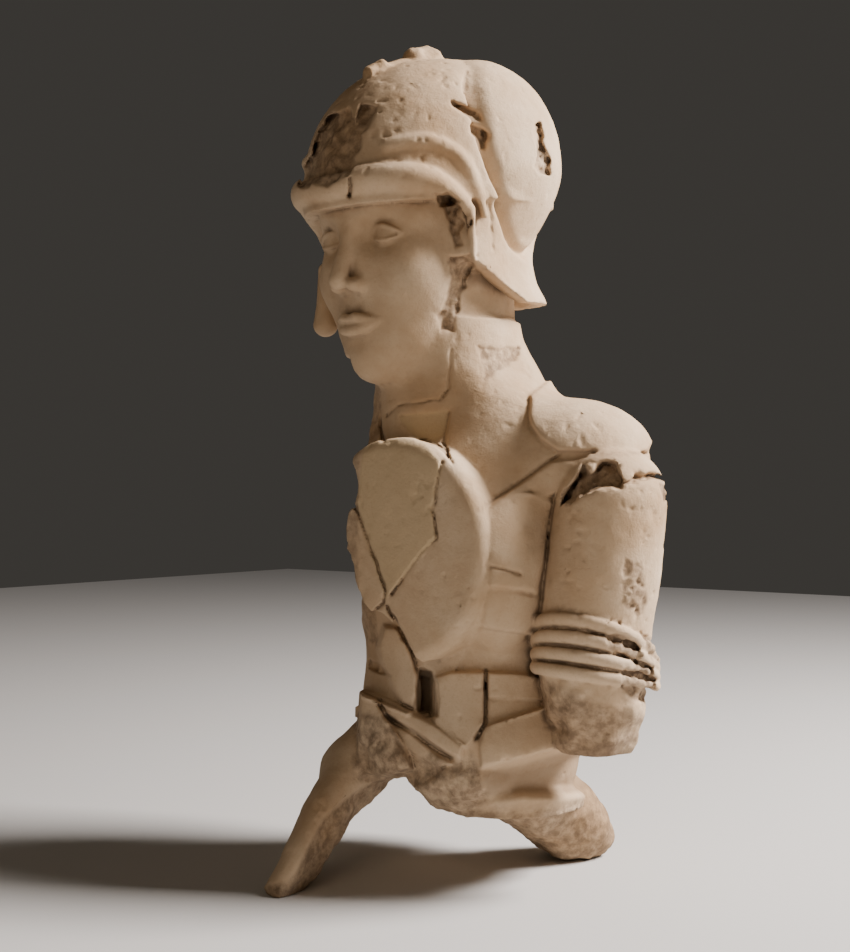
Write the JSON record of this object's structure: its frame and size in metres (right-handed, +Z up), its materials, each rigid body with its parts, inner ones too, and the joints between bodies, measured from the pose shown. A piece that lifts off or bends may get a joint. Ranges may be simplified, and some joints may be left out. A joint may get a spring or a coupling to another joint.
{
  "type": "statue",
  "caption": "Carved limestone fragment of a helmeted warrior with a chest disc, one banded arm and broken legs that it stands on",
  "frame": {"origin": "middle of the bounding box at the height of the two broken leg ends that it stands on", "axes": "+Z up, -Y the way the chest disc faces, +X toward the figure's left, the side of the remaining arm"},
  "size_m": [0.3184, 0.2842, 0.6705],
  "materials": {
    "limestone": "matt, weathered and pitted, with rough broken faces and pale mended joins"
  },
  "bodies": {
    "root": {"warrior_statue": "limestone"}
  },
  "joints": []
}
